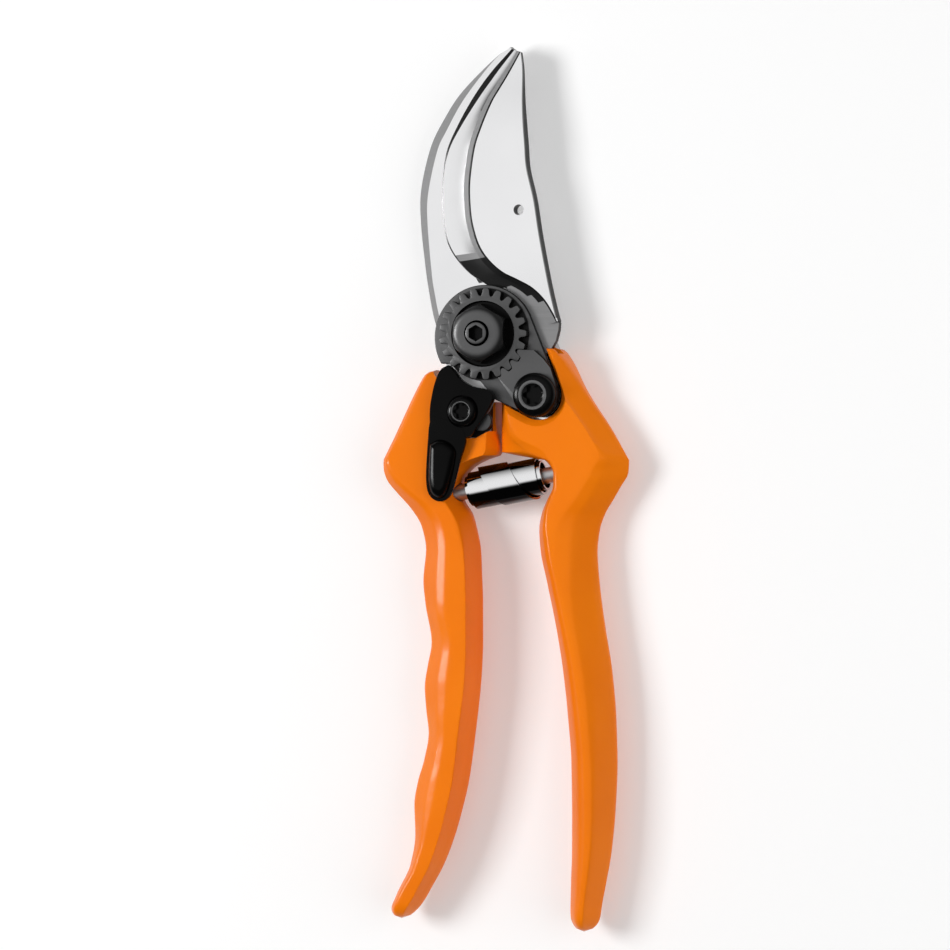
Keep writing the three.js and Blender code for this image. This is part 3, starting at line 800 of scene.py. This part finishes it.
cuttingBladeShape = {
    "edge": [
        (5.5, 69.7), (0, 63.9), (-4.5, 57.9), (-8.6, 50.9), (-11.2, 45), (-12.3, 38), (-12.3, 30.1),
        (-10.8, 22.1), (-6.3, 15.9), (-0.8, 12.1), (5, 9), (10, 5), (13.2, 1.6),
    ],
    "stepTop": [
        (7.9, 68.9), (4.6, 62.9), (2.6, 59.5), (0.9, 56.4), (-1.6, 50.1), (-3.2, 45.1), (-4.3, 37),
        (-4.1, 30.1), (-3.3, 25.6), (-1.8, 21.4), (0.6, 18), (4, 15.1), (7.9, 13.2), (11.6, 11.2),
        (14.7, 8.3), (16.9, 4.9), (18, 2.8),
    ],
    "spine": [
        (8.3, 68.7), (8.8, 64.3), (9.1, 56.5), (9.9, 46.4), (10.4, 40.3), (12.2, 32.6), (13.6, 23.9),
        (15.8, 12.6), (17.4, 5.8), (18.2, 3),
    ],
    "root": [
        (18.2, 2.6), (18.1, 1), (17.4, -1.8), (15.9, -4.2), (14, -5.6), (13.2, -8), (10.6, -10.4),
        (6.8, -12.2), (2.4, -13.4), (0.9, -14.6), (0.5, -16.4), (0.5, -22.6), (-0.2, -23.5), (-2.6, -25.1),
        (-12.8, -25.1), (-12.8, -13.2), (-11.2, -9.6), (-10.4, -8.4), (-11.6, -3), (-11.4, 4), (-8, 9.4),
        (-3, 11.4), (0.5, 11.8), (6.2, 10), (11.5, 8.6), (14.1, 7.1), (16.5, 4.8),
    ],
    "oilHole": (8.3, 30.2),
    "stepWidth": 1.9,
    "heelStart": 0.66,
    "hollowParts": [0.4, 0.75, 1.0],
}


def bladeSheet(name, rows, bottom, along, band):
    # rows of points from the edge to the back, skinned on top and closed with a flat underside
    across = len(rows) - 1
    bm = mappedGrid(along, across, lambda u, v: rows[round(v * across)][round(u * along)], band)
    raised = bmesh.ops.extrude_face_region(bm, geom=list(bm.faces))["geom"]
    for vert in raised:
        if isinstance(vert, bmesh.types.BMVert):
            vert.co.z = bottom
    sheet = newPiece(name, bm)
    for finish in bladeFinishes:
        sheet.data.materials.append(finish)
    return sheet


def shadeSteepWalls(piece, walls):
    # steep faces of a blade take a darker finish, partly their ground finish and partly painted shade
    for face in piece.data.polygons:
        if abs(face.normal.z) < 0.4:
            face.material_index = walls


def paintRootShadeAndHighlight(piece):
    # the root's top: near-black under the catch as painted shade, grey right of the nut, pale below the nut as
    # painted highlight
    bm = bmesh.new()
    bm.from_mesh(piece.data)
    for point, normal in (((5, 0, 0), (1, 0, 0)), ((0, -14, 0), (0, 1, 0)), ((0, -3, 0), (0, 1, 0))):
        everything = [*bm.verts, *bm.edges, *bm.faces]
        bmesh.ops.bisect_plane(bm, geom=everything, plane_co=Vector(point) * mm, plane_no=normal)
    top = (plane["rootTop"] + 0.05) * mm
    for face in bm.faces:
        centre = face.calc_center_median()
        if face.normal.z > 0.9 and centre.z < top and centre.y < 12 * mm:
            if centre.y < -14 * mm:
                face.material_index = dark
            elif centre.x > 5 * mm:
                face.material_index = stepped
            elif centre.y < -3 * mm:
                face.material_index = pale
    bm.to_mesh(piece.data)
    bm.free()


def smoothStep(value, start, end):
    part = min(max((value - start) / (end - start), 0), 1)
    return part * part * (3 - 2 * part)


def cuttingBlade():
    shape = cuttingBladeShape
    along = 180
    edge = alongLine(shape["edge"], along + 1)
    stepTop = alongLine(shape["stepTop"], along + 1)
    spine = alongLine(shape["spine"], along + 1)
    low = plane["bladeBottom"]
    rows = [[] for _ in range(10)]
    for k, (a, b, c) in enumerate(zip(edge, stepTop, spine)):
        u = k / along
        width = (b - a).length
        heel = smoothStep(u, shape["heelStart"], shape["heelStart"] + 0.1)
        micro = min(0.58 + 1.0 * (1 - smoothStep(u, 0.16, 0.42)), 0.32 * width) / width
        foot = 1 - min(shape["stepWidth"], 0.3 * width) / width
        thin = 0.3 + 0.7 * smoothStep(u, 0, 0.3)
        high = low + (plane["bladeTop"] - low) * thin
        lift = low + (0.85 + 1.2 * heel) * thin
        rows[0].append(Vector((*a, low + 0.06)))
        rows[1].append(Vector((*a.lerp(b, micro), lift)))
        for row, part in enumerate(shape["hollowParts"]):
            reach = micro + (foot - micro) * part
            rise = (0.85 - 0.4 * heel) * thin * part**2
            rows[row + 2].append(Vector((*a.lerp(b, reach), lift + rise)))
        rows[5].append(Vector((*a.lerp(b, foot + (1 - foot) * 0.82), high - 0.3 * thin)))
        rows[6].append(Vector((*b, high)))
        span = max((c - b).length, 0.6)
        rows[7].append(Vector((*b.lerp(c, 0.24 / span), high)))
        rows[8].append(Vector((*c.lerp(b, 0.22 / span), high)))
        rows[9].append(Vector((*c, high - 0.2)))

    def band(u, v):
        # painted shade: the micro-bevel, a thin line along the top of the step and a band where the heel begins
        # are near-black; the step and heel are grey
        row = int(v * 9)
        if row in (0, 5, 6):
            return dark
        past = u - shape["heelStart"]
        if row < 5 and 0.01 < past < 0.14 + 0.03 * row:
            return dark if past > 0.025 else stepped
        return stepped if row == 4 or (row < 5 and past > 0) else plain

    blade = bladeSheet("cuttingBlade", rows, low, along, band)
    root = slab("bladeRoot", shape["root"], low, plane["rootTop"])
    combine(blade, [root], "UNION")
    holes = [hole("bolt"), hole("catch", catchScrewAt), hole("oil", shape["oilHole"])]
    combine(blade, holes + [hole("pin", pin) for pin in pinsAt])
    shadeSteepWalls(blade, dark)
    paintRootShadeAndHighlight(blade)
    return place(blade, "cutting_blade", "blade_steel", "finger_side", 12)


counterBladeShape = {
    "outer": [
        (4.4, 70.5), (-0.2, 67.6), (-8.4, 59.8), (-12.9, 53.4), (-16.5, 46.4), (-19, 36.1),
        (-19.1, 28), (-18, 17.6), (-17, 10.9), (-15.5, 3.6), (-13.4, -2),
    ],
    "chamfer": [
        (4.9, 70.1), (0.7, 66.9), (-6.7, 58), (-11.4, 50.1), (-13.8, 45.1), (-16.1, 35),
        (-16.3, 27.6), (-15.2, 15.1), (-14.4, 10), (-13.3, 4.7), (-11.6, -1),
    ],
    "bite": [
        (5.4, 69.8), (2.2, 62.5), (-3.4, 54), (-7, 45), (-8.4, 36),
        (-8, 28), (-6, 20), (-2, 12), (4, 4), (6, 0),
    ],
}


def counterBlade():
    shape = counterBladeShape
    along = 150
    outer = alongLine(shape["outer"], along + 1)
    chamfer = alongLine(shape["chamfer"], along + 1)
    bite = alongLine(shape["bite"], along + 1)
    rows = [
        [Vector((*p, 5.2)) for p in outer],
        [Vector((*p.lerp(q, 0.07), 5.5)) for p, q in zip(outer, chamfer)],
        [Vector((*p, plane["counterTop"])) for p in chamfer],
        [Vector((*p.lerp(q, 0.94), plane["counterTop"])) for p, q in zip(chamfer, bite)],
        [Vector((*p, plane["counterTop"] - 0.2)) for p in bite],
    ]

    def band(u, v):
        # the chamfer takes the grey ground finish, darkened as painted shade
        return stepped if v < 0.5 else plain

    hook = bladeSheet("counterBlade", rows, plane["counterBottom"], along, band)
    root = slab("counterRoot", teardropOutline(12.9, 6.2), plane["counterBottom"], plane["counterTop"])
    combine(hook, [root], "UNION")
    combine(hook, [hole("bolt"), hole("screw", segmentScrewAt), *[hole("rivet", rivet) for rivet in rivetsAt]])
    shadeSteepWalls(hook, stepped)
    return place(hook, "counter_blade", "blade_steel", "palm_side", 12)


cuttingBlade()
counterBlade()
print("blades ready")

# pivot: nut, plate, segment, bolt and screws

nut = {
    "teeth": 21,
    "tip": 11.15,
    "root": 9.2,
    "hexRadius": 7.35,
    # radius and height pairs
    "dish": [(0, 13.7), (7.75, 13.7), (8.0, 14.1), (8.1, 14.9), (8.1, 30), (0, 30)],
    "dome": [
        (0, 13), (7.35, 13), (7.35, 16.2), (7.15, 17.4), (6.8, 18.3), (6.3, 19.0),
        (5.75, 19.45), (5.2, 19.65), (4.6, 19.7), (0, 19.7),
    ],
    "bore": [(0, 0), (3, 0), (3, 19.3), (3.2, 19.8), (3.2, 30), (0, 30)],
}


def toothWave(angle, offset=0.3):
    # 1 on a tooth, -1 in a gap, with short rounded flanks and teeth wider than the gaps
    wave = math.cos(nut["teeth"] * angle) + offset
    return math.copysign(min(1, abs(1.25 * wave)) ** 0.55, wave)


def toothedOutline(stepsPerTooth=12):
    outline = []
    count = nut["teeth"] * stepsPerTooth
    for k in range(count):
        angle = 2 * math.pi * k / count
        radius = (nut["tip"] + nut["root"]) / 2 + (nut["tip"] - nut["root"]) / 2 * toothWave(angle)
        outline.append((radius * math.cos(angle), radius * math.sin(angle)))
    return outline


def adjustingNut():
    flange = slab("adjustingNut", toothedOutline(), plane["toothBottom"], plane["toothTop"])
    roundEdges(flange, 0.14, 2, 60)
    combine(flange, [lathe("dish", nut["dish"])])
    hexagon = rod("hexBoss", pivotAt, nut["hexRadius"], 13.5, plane["nutTop"], 6)
    combine(hexagon, [lathe("dome", nut["dome"], pivotAt, 96)], "INTERSECT")
    roundEdges(hexagon, 0.18, 3, 28)
    combine(flange, [hexagon], "UNION")
    combine(flange, [lathe("bore", nut["bore"])])

    # painted shade: the dish round the boss and the boss's steep sides take the near-black finish
    def shadedInDish(face):
        reach = face.center.xy.length / mm
        return 3 < reach < 8.2 and (face.center.z < 14.6 * mm or abs(face.normal.z) < 0.3)

    markFaces(flange, finishes["dark_steel"], finishes["black_steel"], shadedInDish)
    return place(flange, "adjusting_nut", "dark_steel", "palm_side", 25)


coverPlateShape = {
    "outline": teardropOutline(12.8, 5.4, 100, (-0.3, -0.8)),
    "notch": [
        (-16, -7.2), (-9.4, -7.2), *arc(pivotAt, 11.5, -141, -97, 16), (0.6, -13.8), (0.6, -18), (-16, -18),
    ],
}


def coverPlate():
    plate = slab("coverPlate", coverPlateShape["outline"], plane["plateBottom"], plane["plateTop"])
    notch = slab("notch", coverPlateShape["notch"], farBelow, farAbove)
    combine(plate, [notch, hole("bolt"), hole("screw", segmentScrewAt)])
    roundEdges(plate, 0.3, 3, 40)
    # the plate's second finish carries painted shadow under the nut's teeth
    plate.data.materials.append(darkSteel(shadowUnderTeeth=True))
    return place(plate, "cover_plate", "dark_steel", "palm_side", 25)


def segmentOutline():
    # three teeth stand in the nut's gaps, between a straight side and a shoulder
    pitch = 360 / nut["teeth"]
    outline = [(9.4, -18.4), (13.5, -20.4), (18.4, -17), (18.6, -12.6), (17.2, -8.4), (15.4, -6.2), (13, -4.1)]
    steps = 42
    for k in range(steps + 1):
        angle = math.radians(-pitch * (1.25 + 2.85 * k / steps))
        radius = 10.62 + 0.82 * toothWave(angle, 0.15)
        outline.append((radius * math.cos(angle), radius * math.sin(angle)))
    return outline + [(4.1, -10.9)]


def toothedSegment():
    segment = slab("toothedSegment", segmentOutline(), plane["toothBottom"], plane["toothTop"])
    combine(segment, [rod("boss", segmentScrewAt, 5.4, plane["toothBottom"], plane["toothTop"])], "UNION")
    combine(segment, [hole("screw", segmentScrewAt)])
    roundEdges(segment, 0.2, 3, 40)
    return place(segment, "toothed_segment", "dark_steel", "palm_side", 25)


def lobedSocket(radius, bottom, centre):
    outline = []
    for k in range(72):
        angle = 2 * math.pi * k / 72
        reach = radius * (1 + 0.17 * math.cos(6 * angle))
        outline.append((centre[0] + reach * math.cos(angle), centre[1] + reach * math.sin(angle)))
    return slab("socket", outline, bottom, farAbove)


segmentScrew = {
    "centre": segmentScrewAt,
    "seat": 15.1,
    "head": 5.4,
    "height": 2.5,
    "shank": 2.4,
    "length": 12.8,
    "socket": 2.2,
}
catchScrew = {
    "centre": catchScrewAt,
    "seat": 15.1,
    "head": 3.7,
    "height": 1.8,
    "shank": 1.6,
    "length": 12.1,
    "socket": 1.7,
}


def buttonScrew(name, screw):
    centre, seat, height = screw["centre"], screw["seat"], screw["height"]
    head, shank, socket = screw["head"], screw["shank"], screw["socket"]
    body = lathe(
        name,
        [
            (0, seat - screw["length"]), (shank, seat - screw["length"]), (shank, seat), (head - 0.2, seat),
            (head, seat + 0.2), (head, seat + 0.36 * height), (0.975 * head, seat + 0.55 * height),
            (0.9 * head, seat + 0.76 * height), (0.78 * head, seat + 0.92 * height),
            (0.66 * head, seat + height), (0, seat + height),
        ],
        centre,
    )
    funnel = lathe(
        "funnel",
        [
            (0, seat + 0.8 * height), (socket, seat + 0.8 * height), (socket * 1.28, seat + 0.9 * height),
            (socket * 1.42, seat + height + 0.1), (0, farAbove),
        ],
        centre,
    )
    combine(body, [funnel, lobedSocket(socket, seat + 0.25 * height, centre)])
    roundEdges(body, 0.09, 2, 30)

    def onRim(face):
        # painted highlight: a lighter ring on the socket's edge
        reach = (face.center.xy / mm - Vector(centre)).length
        upward = face.center.z > (seat + 0.8 * height) * mm and face.normal.z > 0.2
        return upward and socket * 1.28 < reach < socket * 1.5

    markFaces(body, finishes["black_steel"], socketRimHighlight, onRim)
    return body


boltProfile = [
    (0, 0), (7.5, 0), (7.8, 0.15), (8, 0.5), (8, 2.2), (7.8, 2.4), (4, 2.4), (4, 12.9), (2.7, 12.9),
    (2.7, 20.05), (2.6, 20.3), (2.35, 20.4), (0, 20.4),
]


def pivotBolt():
    top = plane["boltTop"]
    bolt = lathe("pivotBolt", boltProfile)
    combine(bolt, [rod("boltSocket", pivotAt, 2.05, top - 2.6, farAbove, 6)])

    # the bolt's end face is lighter than its sides, as painted highlight
    def onTop(face):
        return face.center.z > (top - 0.4) * mm and face.normal.z > 0.2

    markFaces(bolt, finishes["black_steel"], finishes["dark_steel"], onTop)
    return place(bolt, "pivot_bolt", "black_steel", "palm_side", 25)


adjustingNut()
coverPlate()
toothedSegment()
pivotBolt()
place(buttonScrew("segmentScrew", segmentScrew), "segment_screw", "black_steel", "palm_side", 25)
place(buttonScrew("catchScrew", catchScrew), "catch_screw", "black_steel", "finger_side", 25)
print("pivot and screws ready")

# thumb catch

catchShape = {
    "upper": [
        (-8.7, -7.6), (-10.6, -8.7), (-12.1, -11.9), (-13.2, -16.8), (-13.4, -20.6), (-13, -23.4),
        (-10.8, -25.4), (-3.8, -25.2), (-1.4, -22.7), (1.3, -18.8), (2.6, -15.8), (2.1, -14.1),
        (1, -13.5), (-2.5, -12.8), (-5.5, -11.2), (-7.4, -8.9), (-8.7, -7.6),
    ],
    "tab": [
        (-12.9, -20), (-13.55, -22.5), (-13.8, -25.6), (-14.1, -29.7), (-14.3, -35.5), (-13.5, -39.3),
        (-10.8, -40.9), (-8.2, -39.4), (-6.9, -35.5), (-5.6, -30.6), (-4.2, -26), (-5.4, -22.6), (-9, -21),
    ],
    "ridge": [
        (-13.3, -26.8), (-13.6, -31), (-13.7, -36), (-12.9, -39), (-10.8, -40.2), (-9, -39),
        (-7.7, -35.4), (-6.7, -31), (-6.6, -28.4), (-8.4, -26.4), (-11, -25.7), (-13.3, -26.8),
    ],
    "crest": ((-10.9, -28.6), (-10.5, -37.4)),
    "bottom": 13.0,
    "top": 15.4,
    "tabBottom": 14.4,
    "tabTop": 17.6,
}


def pillow(name, outline, crest, bottom, top, rings=12, rim=0.6):
    # an outline with an upright rim that rounds over towards its crest line
    start, end = Vector(crest[0]), Vector(crest[1])
    count = len(outline) - 1

    def spot(u, v):
        ring = round(u * rings)
        point = outline[round(v * count) % count]
        if ring == 0:
            return Vector((*point, bottom))
        turn = math.radians(90 * (ring - 1) / (rings - 1))
        along = min(max((point - start).dot(end - start) / (end - start).length_squared, 0), 1)
        inner = point.lerp(start.lerp(end, along), 0.92 * (1 - math.cos(turn)))
        return Vector((*inner, bottom + rim + (top - bottom - rim) * math.sin(turn)))

    bm = mappedGrid(rings, count, spot)
    bmesh.ops.remove_doubles(bm, verts=bm.verts, dist=0.01)
    bmesh.ops.holes_fill(bm, edges=[e for e in bm.edges if e.is_boundary], sides=0)
    return newPiece(name, bm)


def thumbCatch():
    shape = catchShape
    tabBottom = shape["tabBottom"]
    lever = slab("thumbCatch", alongLine(shape["upper"], 110)[:-1], shape["bottom"], shape["top"])
    combine(lever, [slab("tab", alongLine(shape["tab"], 50), tabBottom, shape["top"] + 0.1)], "UNION")
    roundEdges(lever, 0.45, 3, 50)
    ridge = pillow("ridge", alongLine(shape["ridge"], 70), shape["crest"], tabBottom + 0.1, shape["tabTop"])
    combine(lever, [ridge], "UNION")
    combine(lever, [rod("seat", catchScrewAt, 4, 14, farAbove), hole("catch", catchScrewAt)])
    return place(lever, "thumb_catch", "black_lever", "catch", 28)


def latchPlate():
    low, high = plane["rootTop"] + clearance, catchShape["bottom"] - clearance
    latch = rod("latchPlate", catchScrewAt, 5.4, low, high)
    combine(latch, [rod("lobe", (-1, -21.2), 2.4, low, high)], "UNION")
    combine(latch, [hole("catch", catchScrewAt)])
    roundEdges(latch, 0.2, 2, 50)
    return place(latch, "latch_plate", "dark_steel", "catch", 25)


thumbCatch()
latchPlate()
print("catch ready")

# recoil spring: a wide ribbon, widest in the middle, wound inwards to both ends

springRibbon = {
    "turns": 2.6,
    "radius": 5.45,
    "radiusStep": 0.85,
    "turnStep": 1.0,
    "width": 7.7,
    "shift": 0.9,
    "thickness": 0.5,
    "overlap": 0.15,
    "stepsPerTurn": 56,
    "palmEnd": Vector((9.5, -35.5, 8.5)),
    "fingerEnd": Vector((-2.6, -37.7, 8.5)),
}


def recoilSpring():
    ribbon = springRibbon
    steps = round(2 * ribbon["turns"] * ribbon["stepsPerTurn"])
    profile = [-0.5, -0.47, -0.3, 0, 0.3, 0.47, 0.5]

    def spot(u, v):
        turn = 2 * ribbon["turns"] * (u - 0.5)
        crossOver = smoothStep(turn, -0.5, 0.5) - 0.5
        centre = ribbon["shift"] + crossOver * (ribbon["width"] + ribbon["overlap"]) + turn * ribbon["turnStep"]
        radius = ribbon["radius"] - ribbon["radiusStep"] * abs(turn) - ribbon["thickness"]
        angle = math.radians(90) + turn * 2 * math.pi
        across = ribbon["width"] * profile[round(v * 6)]
        return Vector((centre + across, radius * math.cos(angle), radius * math.sin(angle)))

    bm = mappedGrid(steps, 6, spot)
    bmesh.ops.recalc_face_normals(bm, faces=bm.faces)
    outside = sum(face.normal.dot(face.calc_center_median() * Vector((0, 1, 1))) for face in bm.faces)
    thickness = -ribbon["thickness"] if outside > 0 else ribbon["thickness"]
    bmesh.ops.solidify(bm, geom=list(bm.faces), thickness=thickness)
    bmesh.ops.transform(bm, matrix=springTurn(), verts=bm.verts)
    coil = newPiece("recoilSpring", bm)
    shade(coil, 40)
    coil.data.materials.append(finishes["spring_chrome"])
    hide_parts("recoil_spring")
    # it stretches from one handle to the other, so it rides on neither
    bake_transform(coil)
    return coil


recoilSpring()
print("spring ready")

# rubber pad where the handles meet

bumperShape = {"left": 2.75, "right": 5.35, "low": -26, "high": -19.5, "bottom": 5, "top": 7.9, "round": 0.5}


def stopBumper():
    shape = bumperShape
    left, right, low, high = shape["left"], shape["right"], shape["low"], shape["high"]
    outline = [(left, low), (right, low), (right, high), (left, high)]
    pad = slab("stopBumper", outline, shape["bottom"], shape["top"])
    roundEdges(pad, shape["round"], 3, 50)
    return place(pad, "stop_bumper", "bumper_rubber", "palm_side")


stopBumper()
print("bumper ready")

# pieces kept from the frame take the same finishes

keptNodes = {
    "counter_blade_rivet_1", "counter_blade_rivet_2", "segment_spacer",
    "blade_pin_1", "blade_pin_2", "catch_washer",
}
for part in frame["record"]["subparts"]:
    if part["node"] in keptNodes:
        node = frame["nodes"][part["node"]]
        node.data.materials.clear()
        node.data.materials.append(finishes[part["material_slot"]])

# floor, light and camera

studio = {
    "floorHeight": -0.3,
    "tilt": 18.0,
    "target": Vector((-4.0, -34.4, 8.5)),
    "distance": 1200.0,
    "width": 232.75,
    "keyFrom": (-620, 60, 860),
    "keySize": (400, 400),
    "keyPower": 7.6,
    "stripFrom": (-1000, 60, 440),
    "stripSize": (260, 500),
    "stripPower": 12.0,
    "fillFrom": (760, -60, 460),
    "fillSize": (800, 800),
    "fillPower": 3.2,
    "lampsAim": (0, -30, 0),
    "skyTop": 0.94,
    "skySide": 0.11,
    "skyShare": 0.6,
}


def paleFloor():
    bm = bmesh.new()
    bmesh.ops.create_grid(bm, x_segments=1, y_segments=1, size=3000)
    bmesh.ops.translate(bm, vec=(0, 0, studio["floorHeight"]), verts=bm.verts)
    floor = newPiece("floor", bm)
    finish = Finish("floorPaper", Roughness=0.9, Emission_Strength=0.25)
    finish.shader.inputs["Base Color"].default_value = (0.74, 0.74, 0.74, 1)
    finish.shader.inputs["Emission Color"].default_value = (1, 1, 1, 1)
    floor.data.materials.append(finish.material)


def softBox(name, position, size, power, mirrored):
    light = bpy.data.lights.new(name, "AREA")
    light.shape = "RECTANGLE"
    light.size, light.size_y = size[0] * mm, size[1] * mm
    light.energy = power
    lamp = bpy.data.objects.new(name, light)
    lamp.location = Vector(position) * mm
    # one lamp is only seen mirrored in polished faces, the others only light them
    lamp.visible_glossy = mirrored
    lamp.visible_diffuse = not mirrored
    aim = Vector(studio["lampsAim"]) - Vector(position)
    lamp.rotation_euler = aim.to_track_quat("-Z", "Y").to_euler()
    bpy.context.scene.collection.objects.link(lamp)


def studioSky():
    # a white dome, dark at the horizon and on the handles' side, weaker for plain shading than for gloss
    world = bpy.data.worlds.new("studio")
    world.use_nodes = True
    sky = Nodes(world.node_tree, "Background")
    direction = sky.node("ShaderNodeTexCoord", output="Generated")
    upward = sky.node("ShaderNodeSeparateXYZ", None, {"Vector": direction}, "Z")
    side = sky.between(upward + upward.output("Y") * 0.9, 0.34, 0.8, True)
    height = sky.between(upward, 0.1, 0.98, True)
    bright = side * height * (studio["skyTop"] - studio["skySide"]) + studio["skySide"]
    plainRay = sky.node("ShaderNodeLightPath", output="Is Diffuse Ray")
    sky.feed("Strength", bright * (1 - plainRay * (1 - studio["skyShare"])))
    sky.shader.inputs["Color"].default_value = (1, 1, 1, 1)
    bpy.context.scene.world = world


def studioCamera():
    camera = bpy.data.cameras.new("camera")
    camera.lens = camera.sensor_width * studio["distance"] / studio["width"]
    camera.clip_end = 20  # metres
    tilt = math.radians(studio["tilt"])
    seat = bpy.data.objects.new("camera", camera)
    seat.location = (studio["target"] + studio["distance"] * Vector((math.sin(tilt), 0, math.cos(tilt)))) * mm
    seat.rotation_euler = (0, tilt, 0)
    bpy.context.scene.collection.objects.link(seat)
    bpy.context.scene.camera = seat


paleFloor()
softBox("keyLight", studio["keyFrom"], studio["keySize"], studio["keyPower"], False)
softBox("stripLight", studio["stripFrom"], studio["stripSize"], studio["stripPower"], True)
softBox("fillLight", studio["fillFrom"], studio["fillSize"], studio["fillPower"], False)
studioSky()
studioCamera()
bpy.context.scene.view_settings.view_transform = "Standard"
print("studio ready")
